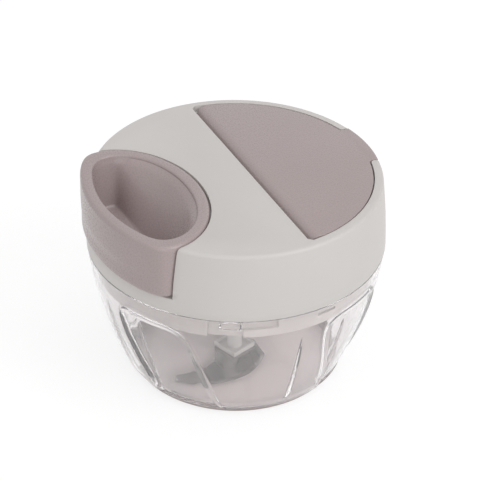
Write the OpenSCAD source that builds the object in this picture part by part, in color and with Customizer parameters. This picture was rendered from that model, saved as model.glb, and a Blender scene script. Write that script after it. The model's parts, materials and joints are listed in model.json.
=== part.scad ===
// Pull-string food chopper: clear bowl, twist-lock lid with a cord drive, pull handle and fill flap.
// Millimetres, +Z up, origin on the table under the bowl's centre, handle towards -Y, flap towards +Y.

/* [Overall] */
// Diameter of lid and bowl where they meet
seam_d = 130; // [126:0.5:136]
// Height of that seam above the table
seam_z = 62.8; // [60:0.2:70]
// Height of the lid above the seam
lid_h = 31.4; // [31:0.2:35]
// Diameter of the lid's flat top with its edge
lid_top_d = 125.6; // [124:0.2:130]
// How far the lid's side swells past a straight cone
lid_bulge = 0.35; // [0:0.05:1]

/* [Bowl] */
// Diameter of the bowl at the table, before its foot is drawn in
bowl_base_d = 92.4; // [86:0.2:98]
// How far the bowl's foot is drawn in at the table
bowl_tuck = 2.2; // [0:0.1:3]
// Height over which it is drawn in
bowl_tuck_h = 10; // [6:0.5:16]
// How far the bowl's side swells past a straight cone
bowl_bulge = 2.75; // [1:0.05:4]
// Wall of the bowl
bowl_wall = 2; // [1.6:0.1:2.4]
// Thickness of the bowl's floor
bowl_floor = 1.3; // [1.2:0.1:2.6]
// Gap between the bowl's rim and the lid
rim_gap = 0.2; // [0.1:0.05:0.5]
// Radius of the curve between floor and wall
bowl_fillet = 6; // [3:0.5:9]
// Number of arched panels round the bowl
panel_count = 4; // [2:1:4]
// Depth of a panel in the outside of the wall, at its top
panel_depth = 0.8; // [0.4:0.1:1]
// How far the wall steps inwards with a panel at the table
panel_step = 1; // [0:0.1:1.2]
// Half the width of a panel at its shoulders
panel_half_w = 17.3; // [14:0.1:22]
// Height of a panel's arched top
panel_top_z = 54; // [50:0.5:56]
// How far a panel leans sideways from bottom to top
panel_lean = 13; // [0:0.5:16]
// Turn of the panels about the axis
panel_turn = -57.4; // [-90:0.2:90]
// Inward depth of a mixing fin at the floor
fin_depth = 3; // [1.5:0.1:4]
// Thickness of a mixing fin
fin_t = 1.6; // [1:0.1:2.4]
// Height of a fin's pointed top
fin_top_z = 48; // [40:0.5:50]
// Turns of the fins that go with each panel
fin_turns = [2, -67]; // [-90:1:90]

/* [Base ring] */
// Thickness of the ring under the floor
foot_t = 1; // [0.8:0.1:2]
// Height of the ring's band round the bowl
foot_h = 3.6; // [2.6:0.1:5]
// Thickness of that band
foot_wall = 1.6; // [1:0.1:2]
// Inner diameter of the ring
foot_bore_d = 16; // [12:1:60]

/* [Blades] */
// Diameter of the steel pin in the bowl's floor
pin_d = 3; // [2.5:0.1:4]
// Length of the pin above the floor
pin_len = 28; // [22:0.5:32]
// Diameter of the moulded boss round the pin's foot
pin_boss_d = 9; // [7:0.5:12]
// Height of that boss above the floor
pin_boss_h = 0.6; // [0.4:0.1:1]
// Diameter of the blade stem
stem_d = 6.6; // [6:0.1:8]
// Side of the square trays that hold the blades
tray_w = 13; // [11:0.5:16]
// Height of a tray
tray_h = 2.2; // [1.8:0.1:4]
// Wall and floor of a tray
tray_wall = 1; // [0.8:0.1:1.4]
// Turn of the trays about the axis
tray_turn = 19; // [0:1:89]
// Thickness of a blade
blade_t = 0.8; // [0.6:0.1:1.2]
// Reach of a blade's tip from the axis
blade_reach = 37; // [28:0.5:38]
// Reach of a blade's blunt end from the axis
blade_heel = 15; // [12:0.5:16]
// Height of the upper blade above the lower one
blade_rise = 22; // [16:0.5:24]

/* [Lid base] */
// Thickness of the lid's lower plate
plate_t = 2; // [1.6:0.1:3]
// Depth of the skirt inside the bowl
skirt_h = 10.3; // [9.6:0.1:12]
// Wall of the skirt
skirt_wall = 2.4; // [2.1:0.1:3]
// Gap between skirt and bowl
skirt_gap = 0.6; // [0.4:0.05:0.8]
// Width of the seal ring between lid base and bowl
gasket_w = 1.55; // [1.2:0.05:1.8]
// Number of bayonet lugs
lug_count = 3; // [2:1:3]
// Width of a lug as an angle
lug_angle = 8; // [6:0.5:10]
// Height of a lug
lug_h = 4.2; // [3:0.1:4.4]
// Distance from the seam down to a lug's top
lug_drop = 2; // [1.8:0.1:2.4]
// How far a lug reaches into the skirt
lug_bite = 1; // [0.6:0.1:1.2]
// Turn of the lugs about the axis
lug_turn = -27.6; // [-40:0.2:-20]
// Angle through which the lid turns to lock
lock_angle = 14; // [10:0.5:14]
// Gap round a lug in its groove
lug_gap = 0.4; // [0.3:0.05:0.6]

/* [Shell] */
// Wall of the lid's shell
lid_wall = 2.2; // [1.8:0.1:2.6]
// Thickness of the lid's top
lid_top_t = 2.4; // [2:0.1:3]
// Radius of the lid's top edge
lid_edge_r = 1.8; // [1:0.1:2.4]
// Diameter of a screw boss
boss_d = 8; // [7:0.5:9]
// Distance of the screws from the skirt's inner face
screw_in = 6.4; // [5.4:0.1:10]
// Angle of the screws from the X axis
screw_angle = 20; // [12:1:22]
// Diameter of a screw
screw_d = 3; // [2.5:0.1:3.5]
// Length of a screw above the plate
screw_len = 11; // [8:0.5:16]
// Diameter of a screw's head
screw_head_d = 5.6; // [5:0.1:7]
// Height of a screw's head
screw_head_h = 1.8; // [1.4:0.1:2.4]

/* [Handle] */
// Distance from the axis to the centre of the handle's bay
bay_u = 50.5; // [49.5:0.1:51.5]
// Half size of the bay along the pull
bay_a = 33.1; // [32:0.1:34]
// Half size of the bay across the pull
bay_b = 42; // [40:0.2:43]
// Sharpness of the handle's upright corners
corner_n = 14; // [8:1:24]
// Gap round the handle in its bay
bay_gap = 0.7; // [0.5:0.05:1]
// Wall of the bay behind the handle
bay_wall = 2; // [1.6:0.1:2.4]
// Height of the ledge under the handle above the seam
ledge_h = 6.7; // [6:0.1:7.5]
// Gap between handle and ledge
ledge_gap = 0.8; // [0.5:0.05:1.2]
// How far the handle's rim stands above the lid
rim_proud = 0.9; // [0:0.1:1.5]
// Thickness of the handle's rim
rim_t = 3; // [2.4:0.1:4]
// Rounding of the rim's edge
rim_round = 1.4; // [0.6:0.1:2]
// Radius of the handle's outer face
front_r = 74; // [70:0.2:78]
// How far that face stands outside the lid
front_proud = 1.9; // [0.4:0.1:2]
// Wall behind that face
front_wall = 5.2; // [4:0.1:6]
// Distance from the axis to the back of the handle under its rim
neck_u = 23.1; // [22:0.1:24]
// Distance from the axis to the back of the handle's foot
foot_u = 34.5; // [34:0.1:36]
// Height of the handle's foot block
foot_block_h = 7.7; // [7:0.1:8.5]
// Distance from the axis to the finger pocket's edge
pocket_u = 24; // [23.6:0.1:26]
// Half size of the pocket along the pull
pocket_a = 22.6; // [20:0.1:24]
// Half size of the pocket across the pull
pocket_b = 34.5; // [30:0.1:35]
// Distance from the axis to the back of the pocket's floor
pocket_floor_u = 43.6; // [42.5:0.1:46]
// Half size of that floor across the pull
pocket_floor_b = 29; // [24:0.5:31]
// Thickness of the pocket's floor
pocket_floor_t = 2.4; // [2:0.1:3.4]

/* [Flap] */
// Distance from the axis to the straight edge of the flap's recess
chord_y = 5.2; // [4.6:0.1:6]
// Radius of the flap's curved edge
flap_r = 58.5; // [57:0.1:59]
// Gap between that edge and the flap
chord_gap = 1.2; // [0.6:0.1:1.6]
// Gap round the flap
flap_gap = 0.6; // [0.4:0.05:0.8]
// Thickness of the flap
flap_t = 2.6; // [2.2:0.1:2.8]
// Radius of the rolled edge round the hinge
roll_r = 4.5; // [4.3:0.1:5]
// Gap between the rolled edge and its trough
roll_gap = 0.6; // [0.5:0.05:0.8]
// Wall of the trough and of the recess floor
recess_wall = 1.8; // [1.4:0.1:2.2]
// Diameter of the hinge pin
hinge_d = 3; // [2:0.1:3.2]
// How far the hinge pin goes into the lid's side
hinge_seat = 1.6; // [1:0.1:2]
// Half angle of the thumb tab at the rim
tab_angle = 13; // [9:0.5:16]
// Width of the fill port across the lid
port_w = 32; // [24:0.5:34]
// Distance from the axis to the port's near edge
port_y = 31.5; // [31:0.5:33]
// Depth of the port away from the axis
port_l = 21; // [16:0.5:21]
// Rounding of the port's corners
port_r = 5; // [3:0.5:7]

/* [Cord drive] */
// Diameter of the cord
cord_d = 1.4; // [1.2:0.1:1.4]
// Diameter of the spool's drum
drum_d = 36; // [33:0.5:37]
// Wall of the drum
drum_wall = 2; // [1.6:0.1:2.4]
// Diameter of the spool's flanges
spool_d = 50; // [46:0.5:52]
// Thickness of a flange
flange_t = 1; // [0.8:0.1:1.2]
// Turns of cord on the drum at rest
cord_turns = 3; // [2:0.25:3]
// Free gap between turns of cord
cord_gap = 0.45; // [0.42:0.01:0.5]
// Diameter of the fixed arbor that the spool turns on
arbor_d = 6; // [5:0.1:7]
// Diameter of the drive shaft
shaft_d = 10; // [9.4:0.1:11]
// Side of the shaft's square tip
tip_w = 6; // [5:0.1:6.4]
// Length of the square tip
tip_len = 9.8; // [7:0.1:11]
// Play between the square tip and its socket, each side
drive_play = 0.75; // [0.7:0.05:0.9]
// Depth of the shaft below the seam
shaft_drop = 5.2; // [4.8:0.1:6]
// Wall of the shaft's bush
bush_wall = 2.4; // [2:0.1:3]
// Diameter of the ratchet cup
cup_d = 35; // [32:0.5:38]
// Height of the ratchet cup
cup_h = 3.9; // [3.6:0.1:4.2]
// Teeth in the ratchet cup
tooth_count = 18; // [12:1:24]
// Depth of a tooth
tooth_h = 1.2; // [0.8:0.1:1.5]
// Turns of the spiral spring
spring_turns = 6; // [4:1:7]
// Thickness of the spring strip
spring_t = 0.5; // [0.3:0.05:0.6]

/* [Fits] */
// Radial clearance of pins and shafts that turn
run_fit = 0.05; // [0.02:0.01:0.08]
// Gap between faces that pass each other
face_gap = 0.3; // [0.2:0.05:0.4]

/* [Hidden] */
$fn = 96;

taupe = [0.65, 0.59, 0.58];
grey = [0.81, 0.80, 0.79];
steel = [0.72, 0.72, 0.72];
eps = 0.01;

seam_r = seam_d / 2;
top_z = seam_z + lid_h;
lid_top_r = lid_top_d / 2;
bowl_base_r = bowl_base_d / 2;
floor_z = foot_t + bowl_floor;
rim_z = seam_z - rim_gap;
panel_pitch = 360 / panel_count;

// Outer radius of the bowl and of the lid at a height
function tuck(z) = bowl_tuck * pow(max(0, 1 - z / bowl_tuck_h), 2);
function bowl_r(z) =
    let (s = z / seam_z)
    bowl_base_r + (seam_r - bowl_base_r) * s + 4 * bowl_bulge * s * (1 - s) - tuck(z);
function lid_r(z) =
    let (s = (z - seam_z) / lid_h)
    seam_r + (lid_top_r - seam_r) * s + 4 * lid_bulge * s * (1 - s);
function bowl_in(z) = bowl_r(z) - bowl_wall;
function steps(a, b, n) = [for (i = [0 : n]) a + (b - a) * i / n];
// Heights from a to b, closer together at a
function rising(a, b, n) = [for (i = [0 : n]) a + (b - a) * pow(i / n, 1.5)];

// Blade stack
hub_z = floor_z + pin_boss_h + face_gap;
tray_z = hub_z + blade_t;
upper_z = hub_z + blade_rise;
pin_top = floor_z + pin_len;

// Lid base and bayonet
plate_z = seam_z + plate_t;
plate_r = seam_r - lid_wall - face_gap;
skirt_z = seam_z - skirt_h;
skirt_r = bowl_in(skirt_z) - skirt_gap;
lug_top = seam_z - lug_drop;
lug_z = lug_top - lug_h;
groove_r = skirt_r - lug_bite - lug_gap;
gasket_z = lug_top + lug_gap + face_gap;
gasket_r = bowl_in(gasket_z) - face_gap - gasket_w;
collar_r = gasket_r - run_fit;
screw_r = skirt_r - skirt_wall - screw_in;

// Drive stack, from the plate upwards
bush_r = shaft_d / 2 + run_fit + bush_wall;
bush_flange = 1.2;
bush_top = plate_z + bush_flange;
bush_z = seam_z - 2.2;
clip_t = 0.9;
clip_top = bush_z - face_gap;
shoulder_z = seam_z - shaft_drop;
socket_top = shoulder_z - face_gap;
tip_z = shoulder_z - tip_len;
socket_z = tip_z - face_gap;
socket_w = tip_w + 2 * drive_play;
socket_r = socket_w / sqrt(2) + 1.2;
cup_z = bush_top + face_gap;
cup_floor = 1.2;
cup_wall = 1.4;
cup_top = cup_z + cup_h;
shaft_top = cup_z + cup_h - 1.2;
spool_z = cup_top + face_gap;
hub_gap_z = shaft_top + face_gap;
drum_gap = 0.2;
winding_r = drum_d / 2 + drum_gap + cord_d / 2;
cord_pitch = cord_d + cord_gap;
lane_h = (cord_turns + 2) * cord_pitch;
lane_z = spool_z + flange_t;
spool_top = lane_z + lane_h + flange_t;
spring_z = lane_z + 0.6 + face_gap;
cover_t = 0.7;
mech_top = spool_top + cover_t;

// Handle and its bay
ledge_z = seam_z + ledge_h;
handle_z = ledge_z + ledge_gap;
rim_top = top_z + rim_proud;
neck_z = rim_top - rim_t;
block_z = handle_z + foot_block_h;
front_u = lid_r(ledge_z) + front_proud;
front_c = front_u - front_r;
pocket_z = handle_z + pocket_floor_t;
pull_c = (bay_u + front_u) / 2 - 4;
ring_n = 96;

knot_r = cord_d + 0.1;
knot_gap = 0.3;

// Cord route: off the drum at a tangent below the winding, up to the eyelet, then straight out to the handle
cord_z = handle_z + knot_r + knot_gap + 1.4;
eyelet_u = foot_u - bay_gap - bay_wall;
eyelet_flange = 1.2;
eyelet_d = cord_d + 2.8;
eyelet_flange_d = eyelet_d + 2.4;
eyelet_in_u = eyelet_u - eyelet_flange;
leave_z = lane_z + cord_pitch / 2;
leave_a = 270 - acos(winding_r / eyelet_in_u);
knot_seat_u = foot_u + 1.6;

// Flap and its hinge
hinge_y = chord_y + chord_gap + roll_r;
hinge_z = top_z - roll_r;
recess_r = flap_r + flap_gap;
recess_z = top_z - flap_t - 0.4;
trough_r = roll_r + roll_gap;
roll_half = sqrt(pow(flap_r, 2) - pow(hinge_y, 2)) - flap_gap;
hinge_half = sqrt(pow(recess_r, 2) - pow(hinge_y, 2)) + hinge_seat;
knuckle_w = 6;
arbor_boss_z = mech_top + face_gap;
arbor_top = top_z - lid_top_t - 1;
arbor_z = bush_top - 2.4;

// Shapes shared by several pieces

// Ellipse across the pull: u is the distance towards -Y
module pull_ellipse(u, a, b) {
    polygon([for (i = [0 : 71]) [b * sin(i * 5), -(u + a * cos(i * 5))]]);
}

// Distance from an inner point at pull_c to an ellipse and to a circle, along angle t
function to_ellipse(t, c, a, b) =
    let (dv = sin(t) / b, du = cos(t) / a, e = (pull_c - c) / a, q = dv * dv + du * du, h = e * du)
    (-h + sqrt(h * h - q * (e * e - 1))) / q;
function to_circle(t, c, r) = to_ellipse(t, c, r, r);
function to_line(t, u) = cos(t) < -eps ? (u - pull_c) / cos(t) : 1000;

// Ring of points at height z: an ellipse from u0 outwards, cut by a circle and by a line at the back,
// with rounded corners
function cut_ring(z, u0, c, b, r, inset = 0, back = -1000) = [for (i = [0 : ring_n - 1])
    let (t = 360 * i / ring_n,
         m = pow(pow(to_ellipse(t, c, c - u0, b), -corner_n) + pow(to_circle(t, front_c, r), -corner_n)
                 + pow(to_line(t, back), -corner_n), -1 / corner_n) - inset)
    [m * sin(t), -(pull_c + m * cos(t)), z]];

// Closed solid through a stack of rings, from the lowest to the highest
module stacked(rings) {
    n = ring_n;
    m = len(rings);
    sides = [for (j = [0 : m - 2], i = [0 : n - 1])
        let (a = j * n + i, b = j * n + (i + 1) % n)
        each [[a, b + n, b], [a, a + n, b + n]]];
    caps = [for (i = [1 : n - 2]) each [[0, i, i + 1], [(m - 1) * n, (m - 1) * n + i + 1, (m - 1) * n + i]]];
    polyhedron([for (r = rings) each r], concat(sides, caps));
}

module slab(z, t = eps) {
    translate([0, 0, z]) linear_extrude(t) children();
}

// Ring segment round the axis from angle a0 to a1
module sector(r0, r1, z0, z1, a0, a1) {
    rotate(a0) rotate_extrude(angle = a1 - a0) translate([r0, z0]) square([r1 - r0, z1 - z0]);
}

module tube(r0, r1, z0, z1) {
    translate([0, 0, z0]) difference() {
        cylinder(r = r1, h = z1 - z0);
        translate([0, 0, -1]) cylinder(r = r0, h = z1 - z0 + 2);
    }
}

// Turn a flat profile (Y, Z) so that it runs along X through a point
module along_x(y, z, len) {
    translate([0, y, z]) rotate([90, 0, 90]) linear_extrude(len, center = true) children();
}

module port_outline(grow) {
    r = port_r + grow;
    w = port_w / 2 - port_r;
    translate([0, port_y + port_l / 2]) {
        square([port_w + 2 * grow, port_l - 2 * port_r], center = true);
        square([port_w - 2 * port_r, port_l + 2 * grow], center = true);
        for (x = [-w, w], y = [-1, 1]) translate([x, y * (port_l / 2 - port_r)]) circle(r = r);
    }
}

module at_screws() {
    for (a = [screw_angle, 180 - screw_angle, 180 + screw_angle, -screw_angle])
        rotate(a) translate([screw_r, 0, 0]) children();
}

// Tube of n sides swept along points
function unit(v) = v / norm(v);
function tangent(p, i) = unit(p[min(i + 1, len(p) - 1)] - p[max(i - 1, 0)]);
module swept(p, r, n = 8) {
    rings = [for (i = [0 : len(p) - 1])
        let (t = tangent(p, i), s = unit(cross(t, [0, 0, 1])), w = cross(s, t))
        for (k = [0 : n - 1]) p[i] + r * (cos(360 * k / n) * s + sin(360 * k / n) * w)];
    last = (len(p) - 1) * n;
    sides = [for (i = [0 : len(p) - 2], k = [0 : n - 1])
        let (a = i * n + k, b = i * n + (k + 1) % n)
        each [[a, b, b + n], [a, b + n, a + n]]];
    caps = [for (k = [1 : n - 2]) each [[0, k + 1, k], [last, last + k, last + k + 1]]];
    polyhedron(rings, concat(sides, caps));
}

// Bowl

// Step of the bowl's inner face under a panel: deepest at the table, none at the panel's top
function panel_in(z) = panel_step * (1 - z / panel_top_z);

// Upright prism with the outline of a panel: narrower at the foot, with square shoulders, leaning sideways
module panel_prism() {
    lo = foot_h + 1;
    shoulder = panel_top_z - 16;
    leaf = [for (i = [0 : 24]) let (t = i * 7.5)
        [panel_half_w * sign(cos(t)) * pow(abs(cos(t)), 0.45),
         shoulder + (panel_top_z - shoulder) * pow(sin(t), 0.45)]];
    foot = 0.8 * panel_half_w;
    outline = concat([[foot, lo]], leaf, [[-foot, lo]]);
    leaning = [for (p = outline) [p[0] + panel_lean * (0.5 - (p[1] - lo) / (panel_top_z - lo)), p[1]]];
    rotate([90, 0, 90]) linear_extrude(seam_d) polygon(leaning);
}

module panel_cut() {
    lo = foot_h;
    hi = panel_top_z + 1;
    intersection() {
        panel_prism();
        rotate_extrude() polygon(concat(
            [for (z = rising(lo, hi, 14)) [bowl_r(z) - panel_depth - panel_in(z), z]],
            [[seam_r + 5, hi], [seam_r + 5, lo]]));
    }
}

// Wall under a panel, stepped inwards with it
module panel_wall() {
    lo = floor_z - bowl_floor / 2;
    hi = panel_top_z - 2;
    intersection() {
        panel_prism();
        rotate_extrude() polygon(concat(
            [for (z = rising(lo, hi, 14)) [bowl_in(z) - panel_in(z), z]],
            [for (z = steps(hi, lo, 12)) [bowl_in(z) + bowl_wall / 4, z]]));
    }
}

module bowl() {
    fillet = [for (a = steps(-90, -10, 6))
        let (z = floor_z + bowl_fillet + bowl_fillet * sin(a))
        [bowl_in(floor_z + bowl_fillet) - bowl_fillet + bowl_fillet * cos(a) - tuck(z), z]];
    outer = [for (z = rising(foot_h, rim_z, 20)) [bowl_r(z), z]];
    inner = [for (z = steps(rim_z, floor_z + bowl_fillet, 18)) [bowl_in(z), z]];
    back = [for (i = [len(fillet) - 1 : -1 : 0]) fillet[i]];
    color([0.93, 0.91, 0.91, 0.4]) difference() {
        union() {
            difference() {
                union() {
                    rotate_extrude() polygon(concat(
                        [[0, foot_t], [bowl_r(foot_t) - foot_wall, foot_t], [bowl_r(foot_h) - foot_wall, foot_h]],
                        outer, inner, back, [[0, floor_z]]));
                    for (i = [0 : panel_count - 1]) rotate(panel_turn + i * panel_pitch) panel_wall();
                }
                for (i = [0 : panel_count - 1]) rotate(panel_turn + i * panel_pitch) panel_cut();
            }
            for (i = [0 : panel_count - 1], a = fin_turns) rotate(a + i * panel_pitch) mixing_fin();
            for (i = [0 : lug_count - 1])
                sector(skirt_r - lug_bite, bowl_in(lug_top) + bowl_wall / 2, lug_z, lug_top,
                       lug_turn + i * 360 / lug_count - lug_angle / 2,
                       lug_turn + i * 360 / lug_count + lug_angle / 2);
            translate([0, 0, foot_t]) cylinder(d = pin_boss_d, h = bowl_floor + pin_boss_h);
        }
        translate([0, 0, foot_t + bowl_floor / 4]) cylinder(d = pin_d, h = pin_len);
    }
}

// Upright fin on the bowl's inner wall, deepest at the floor and pointed at the top
module mixing_fin() {
    mid_z = (floor_z + fin_top_z) / 2;
    foot_z = floor_z + bowl_fillet;
    low_z = floor_z - bowl_floor / 2;
    heel_z = floor_z + bowl_fillet / 6;
    rotate([90, 0, 0]) linear_extrude(fin_t, center = true) polygon([
        [bowl_in(foot_z) - bowl_fillet * 0.77 - fin_depth * 0.4 - tuck(low_z), low_z],
        [bowl_in(foot_z) - fin_depth, foot_z],
        [bowl_in(mid_z) - fin_depth * 0.7, mid_z],
        [bowl_in(fin_top_z) + bowl_wall / 8, fin_top_z],
        [bowl_in(mid_z) + bowl_wall / 8, mid_z],
        [bowl_in(foot_z) + bowl_wall / 8, foot_z],
        [bowl_in(foot_z) - bowl_fillet * 0.37 - tuck(heel_z), heel_z],
        [bowl_in(foot_z) - bowl_fillet * 0.77 - tuck(low_z), low_z]]);
}

module base_ring() {
    color(taupe) rotate_extrude() polygon([
        [foot_bore_d / 2, 0], [bowl_r(0) - 0.6, 0], [bowl_r(0.6), 0.6], [bowl_r(foot_h), foot_h],
        [bowl_r(foot_h) - foot_wall + run_fit, foot_h], [bowl_r(foot_t) - foot_wall + run_fit, foot_t],
        [foot_bore_d / 2, foot_t]]);
}

module spindle_pin() {
    foot = foot_t + bowl_floor / 4;
    color(steel) {
        translate([0, 0, foot]) cylinder(d = pin_d, h = pin_top - foot - pin_d / 4);
        translate([0, 0, pin_top - pin_d / 4]) cylinder(d1 = pin_d, d2 = pin_d / 2, h = pin_d / 4);
    }
}

// Blades

module tray(z) {
    rotate(tray_turn) translate([0, 0, z]) difference() {
        translate([-tray_w / 2, -tray_w / 2, 0]) cube([tray_w, tray_w, tray_h]);
        translate([tray_wall - tray_w / 2, tray_wall - tray_w / 2, tray_wall])
            cube([tray_w - 2 * tray_wall, tray_w - 2 * tray_wall, tray_h]);
    }
}

module blade_hub() {
    color(grey) difference() {
        union() {
            translate([0, 0, hub_z]) cylinder(d = stem_d, h = socket_z - hub_z);
            tray(tray_z);
            tray(upper_z + blade_t);
            translate([0, 0, upper_z - 2]) cylinder(d = stem_d + 3, h = 2);
            translate([0, 0, socket_z - 5]) cylinder(d1 = stem_d, r2 = socket_r, h = 3);
            translate([0, 0, socket_z - 2]) cylinder(r = socket_r, h = socket_top - socket_z + 2);
        }
        translate([0, 0, hub_z - 1])
            cylinder(r = pin_d / 2 + run_fit, h = pin_top - hub_z + 1 + face_gap);
        rotate(tray_turn) translate([-socket_w / 2, -socket_w / 2, socket_z])
            cube([socket_w, socket_w, tip_len + 2]);
    }
}

// Sickle blade round the stem: a convex edge that winds out to the tip, then back along the spine
module sickle(z) {
    heel_a = 40;
    sweep = 110;
    edge = [for (s = steps(0, 1, 16))
        let (r = blade_heel + (blade_reach - blade_heel) * pow(s, 1.6), a = heel_a - sweep * s)
        [r * cos(a), r * sin(a)]];
    spine = [for (p = [[0.93, -74], [0.71, -66], [0.55, -62], [0.38, -64], [0.26, -80], [0.24, -110],
                       [0.24, -150], [0.24, 150], [0.27, 90]])
        blade_reach * p[0] * [cos(p[1]), sin(p[1])]];
    translate([0, 0, z]) difference() {
        linear_extrude(blade_t) polygon(concat(edge, spine));
        translate([0, 0, -1]) cylinder(d = stem_d, h = blade_t + 2);
    }
}

module lower_blade() { color(steel) sickle(hub_z); }
module upper_blade() { color(steel) rotate(180) sickle(upper_z); }

// Lid base

module bayonet_groove(a) {
    side = lug_angle / 2 + 1;
    sector(groove_r, skirt_r + 1, skirt_z - 1, lug_top + lug_gap, a - side - 4, a + side);
    sector(groove_r, skirt_r + 1, lug_z - lug_gap, lug_top + lug_gap, a - side - 4, a + side + lock_angle);
}

module lid_base() {
    dash_a = lug_turn + lug_angle / 2 + lock_angle + 18;
    color(grey) difference() {
        union() {
            translate([0, 0, seam_z]) cylinder(r = plate_r, h = plate_t);
            tube(skirt_r - skirt_wall, skirt_r, skirt_z, seam_z + plate_t / 2);
            tube(skirt_r - skirt_wall, collar_r, gasket_z, seam_z + plate_t / 2);
            translate([0, 0, bush_z]) cylinder(r = bush_r + 3, h = plate_z - bush_z);
        }
        tube(collar_r, seam_r, gasket_z, seam_z);
        for (i = [0 : lug_count - 1]) {
            bayonet_groove(lug_turn + i * 360 / lug_count);
            sector(skirt_r - skirt_wall - 1, skirt_r + 1, lug_z, lug_z + lug_h * 0.3,
                   dash_a + i * 360 / lug_count, dash_a + 9 + i * 360 / lug_count);
        }
        translate([0, 0, bush_z - 1]) cylinder(r = bush_r, h = plate_z - bush_z + 2);
        translate([0, 0, seam_z - 1]) linear_extrude(plate_t + 2) port_outline(0);
        at_screws() translate([0, 0, seam_z - 1]) cylinder(d = screw_d, h = plate_t + 2);
    }
}

module lid_gasket() {
    color(grey) tube(gasket_r, gasket_r + gasket_w, gasket_z, seam_z - rim_gap / 2);
}

module lid_screws() {
    color(steel) at_screws() {
        translate([0, 0, seam_z - screw_head_h]) cylinder(d = screw_head_d, h = screw_head_h);
        translate([0, 0, seam_z - eps]) cylinder(d = screw_d, h = plate_t + screw_len);
    }
}

// Lid shell

// Everything inside the lid's outer surface
module lid_solid() {
    edge = [for (a = steps(0, 90, 5))
        [lid_r(top_z - lid_edge_r) - lid_edge_r * (1 - cos(a)), top_z - lid_edge_r * (1 - sin(a))]];
    side = [for (z = steps(seam_z, top_z - lid_edge_r, 8)) [lid_r(z), z]];
    rotate_extrude() polygon(concat([[0, seam_z]], side, edge, [[0, top_z]]));
}

module lid_hollow() {
    side = [for (z = steps(seam_z - 1, top_z - lid_top_t, 8)) [lid_r(max(z, seam_z)) - lid_wall, z]];
    rotate_extrude() polygon(concat([[0, seam_z - 1]], side, [[0, top_z - lid_top_t]]));
}

// Space for the handle, grown inwards by a wall
module bay(grow) {
    back = foot_u - bay_gap - grow;
    neck = neck_u - bay_gap - grow;
    b = bay_b + grow;
    shelf = neck_z - bay_gap - grow;
    slab(shelf, top_z - shelf + 2) pull_ellipse(bay_u, bay_a + grow, b);
    hull() {
        slab(shelf) pull_ellipse(bay_u, bay_u - neck, b);
        slab(block_z - grow) pull_ellipse(bay_u, bay_u - back, b);
    }
    slab(ledge_z - grow, block_z - ledge_z + eps) pull_ellipse(bay_u, bay_u - back, b);
}

module half_disc(r, y0) {
    intersection() {
        circle(r = r, $fn = 144);
        translate([-r, y0]) square([2 * r, r]);
    }
}

module recess() {
    slab(recess_z, flap_t + 2) half_disc(recess_r, chord_y);
    sector(recess_r - 2, seam_r + 2, recess_z, top_z + 1, 90 - tab_angle - 0.6, 90 + tab_angle + 0.6);
    intersection() {
        along_x(hinge_y, hinge_z, 2 * (roll_half + flap_gap)) circle(r = trough_r);
        slab(hinge_z - trough_r - 1, 2 * trough_r + 2) half_disc(recess_r, chord_y);
    }
}

module lid_shell() {
    color(grey) difference() {
        union() {
            difference() {
                lid_solid();
                lid_hollow();
            }
            intersection() {
                lid_solid();
                union() {
                    slab(recess_z - recess_wall, flap_t + recess_wall) half_disc(seam_r, chord_y - recess_wall);
                    along_x(hinge_y, hinge_z, seam_d) circle(r = trough_r + recess_wall);
                    bay(bay_wall);
                }
            }
            translate([0, 0, arbor_boss_z]) cylinder(d = arbor_d + 6, h = top_z - arbor_boss_z - eps);
            at_screws() translate([0, 0, plate_z]) cylinder(d = boss_d, h = top_z - plate_z - 1);
            slab(plate_z, recess_z - plate_z - eps) port_outline(recess_wall);
        }
        bay(0);
        recess();
        slab(plate_z - 1, top_z) port_outline(0);
        at_screws() translate([0, 0, plate_z - 1]) cylinder(d = screw_d, h = screw_len + 1);
        translate([0, 0, arbor_boss_z - 1]) cylinder(d = arbor_d, h = arbor_top - arbor_boss_z + 1);
        along_x(hinge_y, hinge_z, 2 * hinge_half) circle(d = hinge_d);
        translate([0, -eyelet_u, cord_z]) rotate([90, 0, 0]) cylinder(d = eyelet_d, h = 2 * bay_wall);
        translate([0, -eyelet_u, cord_z]) rotate([-90, 0, 0]) cylinder(d = eyelet_flange_d + 0.2, h = 8);
    }
}

module flap_hinge_pin() {
    color(steel) along_x(hinge_y, hinge_z, 2 * hinge_half) circle(d = hinge_d);
}

module fill_flap() {
    color(taupe) {
        difference() {
            union() {
                slab(top_z - flap_t, flap_t) half_disc(flap_r, hinge_y);
                sector(flap_r - 2, lid_r(top_z) - 0.3, top_z - flap_t, top_z, 90 - tab_angle, 90 + tab_angle);
                along_x(hinge_y, hinge_z, 2 * roll_half) difference() {
                    intersection() {
                        circle(r = roll_r);
                        translate([-roll_r, 0]) square(roll_r);
                    }
                    circle(r = roll_r - flap_t);
                }
                for (x = [-0.8, 0, 0.8]) translate([x * roll_half, 0, 0])
                    along_x(hinge_y, hinge_z, knuckle_w) circle(r = roll_r - 1);
            }
            along_x(hinge_y, hinge_z, 2 * recess_r) circle(d = hinge_d + 2 * run_fit);
        }
    }
}

module shaft_bush() {
    color("white") {
        tube(shaft_d / 2 + run_fit, bush_r, bush_z, plate_z);
        tube(shaft_d / 2 + run_fit, bush_r + 2, plate_z, bush_top);
    }
}

module spring_arbor() {
    slot = spring_t + 2 * run_fit;
    color(steel) difference() {
        translate([0, 0, arbor_z]) cylinder(d = arbor_d, h = arbor_top - arbor_z);
        translate([0, -slot / 2, spring_z - face_gap]) cube([arbor_d, slot, spool_top - spring_z + face_gap]);
    }
}

module cord_eyelet() {
    color("white") translate([0, -eyelet_in_u, cord_z]) rotate([90, 0, 0]) difference() {
        union() {
            cylinder(d = eyelet_flange_d, h = eyelet_flange);
            cylinder(d = eyelet_d, h = eyelet_flange + bay_wall);
        }
        translate([0, 0, -1]) cylinder(d = cord_d + 1, h = 10);
    }
}

// Spool and clutch

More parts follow.
